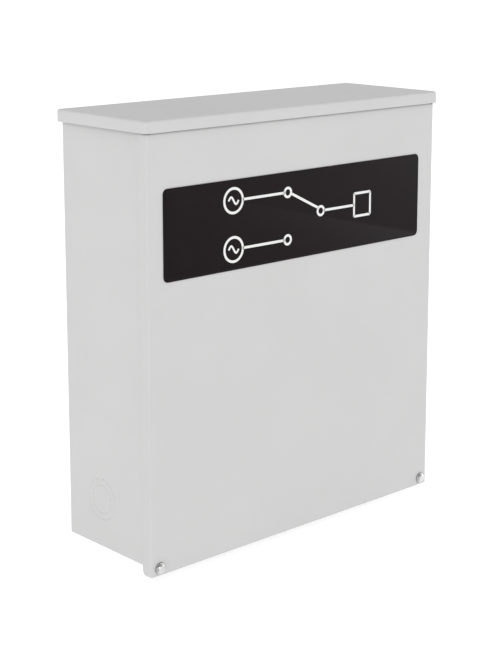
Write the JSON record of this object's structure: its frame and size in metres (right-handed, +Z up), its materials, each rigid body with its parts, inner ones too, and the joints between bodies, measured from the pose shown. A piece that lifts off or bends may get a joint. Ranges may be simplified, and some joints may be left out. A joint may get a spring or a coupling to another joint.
{
  "type": "transfer switch",
  "caption": "Wall-mounted double-throw transfer switch in a flat rainproof steel case with a drip cap, a slip-on cover and a hand lever stowed inside.",
  "frame": {"origin": "centre of the wall face of the case, which is the centre of its four wall holes", "axes": "+Y into the wall, out of the back of the case; +Z up; +X to the right seen from the front"},
  "size_m": [0.4652, 0.157, 0.508],
  "materials": {
    "case_paint": "light grey powder coat, fine texture",
    "cap_paint": "light grey powder coat, fine texture",
    "plate_black": "printed film, satin",
    "label_paper": "matt paper",
    "zinc_screw": "bright zinc plate",
    "galvanised": "galvanised sheet",
    "moulded_black": "moulded thermoset, matt",
    "bushing_bronze": "sintered bronze",
    "shaft_steel": "ground steel",
    "carrier_red": "moulded glass polyester",
    "copper": "copper bar, lightly tarnished",
    "silver": "silver contact alloy",
    "chute_steel": "plated steel between fibre cheeks",
    "aluminium_lug": "tin-plated aluminium",
    "spring_steel": "spring steel",
    "coil_wrap": "taped winding",
    "button_white": "nylon",
    "grip_black": "soft grip",
    "relay_case": "smoked clear polycarbonate",
    "insulator_grey": "glass polyester",
    "fuse_body": "melamine tube",
    "wire_insulation": "PVC"
  },
  "bodies": {
    "case": {"enclosure_body": "case_paint", "front_returns": "case_paint", "bottom_plate": "case_paint", "drip_cap": "cap_paint", "cover_nuts": "zinc_screw", "mechanism_plate": "galvanised", "control_plate": "galvanised", "plate_standoffs": "galvanised", "plate_screws": "zinc_screw", "switch_base": "moulded_black", "left_side_frame": "galvanised", "right_side_frame": "galvanised", "shaft_bushings": "bushing_bronze", "fixed_tips": "silver", "utility_contacts": "copper", "generator_contacts": "copper", "load_bars": "copper", "load_block": "moulded_black", "utility_arc_chutes": "chute_steel", "generator_arc_chutes": "chute_steel", "utility_lugs": "aluminium_lug", "generator_lugs": "aluminium_lug", "load_lugs": "aluminium_lug", "neutral_lugs": "aluminium_lug", "lug_screws": "zinc_screw", "toggle_spring": "spring_steel", "utility_coil_frame": "galvanised", "generator_coil_frame": "galvanised", "utility_coil": "coil_wrap", "generator_coil": "coil_wrap", "utility_limit_switch": "moulded_black", "generator_limit_switch": "moulded_black", "handle_clips": "spring_steel", "neutral_base": "insulator_grey", "neutral_bar": "aluminium_lug", "ground_bar": "aluminium_lug", "relay_socket": "moulded_black", "fuse_block": "moulded_black", "terminal_strip": "moulded_black", "terminal_screws": "zinc_screw", "control_wires": "wire_insulation"},
    "cover": {"front_cover": "case_paint", "nameplate": "plate_black", "cover_screws": "zinc_screw", "wiring_label": "label_paper"},
    "rotor": {"transfer_shaft": "shaft_steel", "contact_carrier": "carrier_red", "moving_blades": "copper", "blade_tips": "silver", "crank_arm": "shaft_steel", "switch_cam": "button_white", "handle_hub": "shaft_steel"},
    "armature": {"solenoid_armature": "shaft_steel"},
    "utility_button": {"utility_limit_button": "button_white"},
    "generator_button": {"generator_limit_button": "button_white"},
    "hand_lever": {"manual_handle": "shaft_steel", "handle_grip": "grip_black"},
    "relay": {"control_relay": "relay_case"},
    "fuse_holder": {"fuse_pullout": "insulator_grey", "control_fuses": "fuse_body"}
  },
  "joints": [
    {"name": "cover_tilt", "type": "hinge", "parent": "case", "child": "cover", "pos_m": [0, -0.15165, 0.2335], "axis": [-1, 0, 0], "range_deg": [0, 60]},
    {"name": "transfer_throw", "type": "hinge", "parent": "case", "child": "rotor", "pos_m": [0, -0.062, 0.01], "axis": [1, 0, 0], "range_deg": [0, 60], "deforming": ["toggle_spring"]},
    {"name": "armature_slide", "type": "slide", "parent": "case", "child": "armature", "axis": [0, 0, -1], "range_m": [0, 0.02]},
    {"name": "utility_button_travel", "type": "slide", "parent": "case", "child": "utility_button", "axis": [0, 0, -1], "range_m": [0, 0.002]},
    {"name": "generator_button_travel", "type": "slide", "parent": "case", "child": "generator_button", "axis": [0, 0, -1], "range_m": [0, 0.002]},
    {"name": "hand_lever_pull", "type": "slide", "parent": "case", "child": "hand_lever", "axis": [0, -1, 0], "range_m": [0, 0.06]},
    {"name": "relay_pull", "type": "slide", "parent": "case", "child": "relay", "axis": [0, -1, 0], "range_m": [0, 0.015]},
    {"name": "fuse_pull", "type": "slide", "parent": "case", "child": "fuse_holder", "axis": [0, -1, 0], "range_m": [0, 0.022]}
  ],
  "couplings": [
    {"joint": "armature_slide", "follows": "transfer_throw", "m_per_rad": 0.019098},
    {"joint": "utility_button_travel", "follows": "transfer_throw", "m_per_rad": 0.0019098},
    {"joint": "generator_button_travel", "follows": "transfer_throw", "m_per_rad": 0.0019098}
  ]
}
